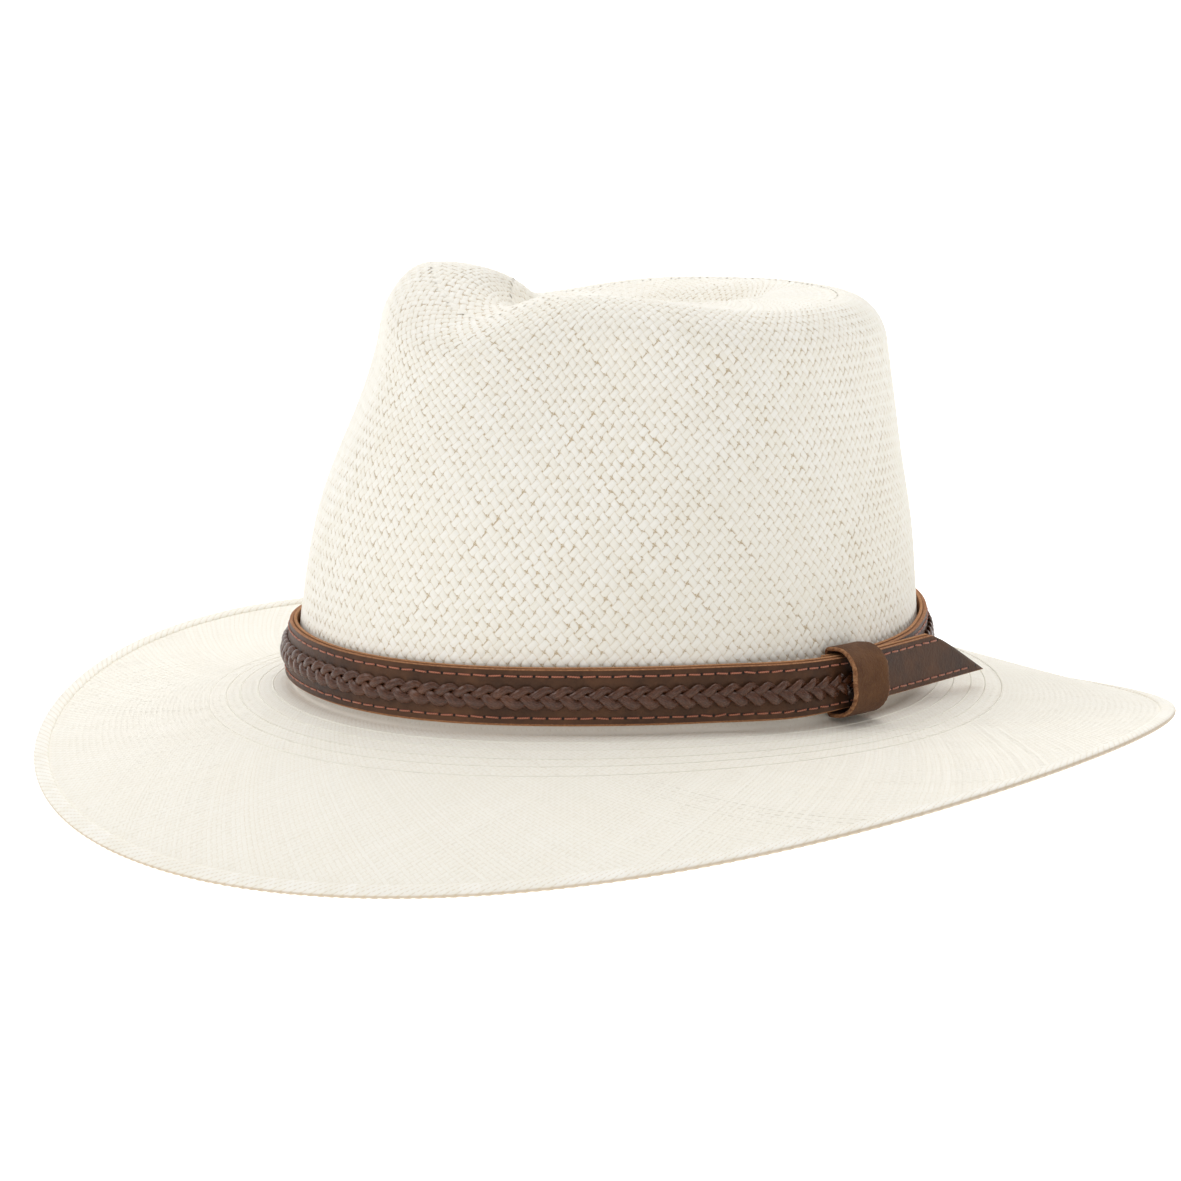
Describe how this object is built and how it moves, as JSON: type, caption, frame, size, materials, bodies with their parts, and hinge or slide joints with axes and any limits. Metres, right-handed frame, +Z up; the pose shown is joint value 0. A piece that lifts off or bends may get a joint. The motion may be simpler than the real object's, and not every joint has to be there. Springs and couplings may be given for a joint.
{
  "type": "panama hat",
  "caption": "Woven straw hat with a creased, pinched crown, a wide brim and a stitched brown leather band with a plaited braid, a free tail and a sliding keeper loop.",
  "frame": {"origin": "centre of the hat's footprint on the surface that its brim lies on", "axes": "+Z up, -Y towards the front of the hat, +X towards the wearer's left, where the keeper loop and tail are"},
  "size_m": [0.3376, 0.3575, 0.1575],
  "materials": {
    "straw": "bleached ivory toquilla straw, plain weave, soft satin",
    "band_leather": "dark brown waxed leather, satin",
    "edge_leather": "raw tan backing leather and cut edges",
    "braid_leather": "dark brown plaited laces, slightly glossy",
    "keeper_leather": "brown nubuck leather with rough cut edges",
    "thread": "waxed salmon-brown sewing thread",
    "sweat_leather": "tan smooth leather",
    "reed": "matt ivory piping",
    "pale_thread": "ivory sewing thread",
    "ribbon": "brown grosgrain ribbon"
  },
  "bodies": {
    "hat": {"straw_body": "straw", "band_face": "band_leather", "band_backing": "edge_leather", "band_stitching_upper": "thread", "band_stitching_lower": "thread", "braid_strand_1": "braid_leather", "braid_strand_2": "braid_leather", "braid_strand_3": "braid_leather", "band_tacks": "thread", "sweatband": "sweat_leather", "sweatband_reed": "reed", "sweatband_stitching": "pale_thread", "sweatband_bow": "ribbon"},
    "keeper": {"keeper_loop": "keeper_leather"}
  },
  "joints": [
    {"name": "keeper_slide", "type": "hinge", "parent": "hat", "child": "keeper", "pos_m": [-0.04093, 0.00301, 0.02878], "axis": [0.0002, 0.0527, 0.9986], "range_deg": [-2.5, 5]}
  ]
}
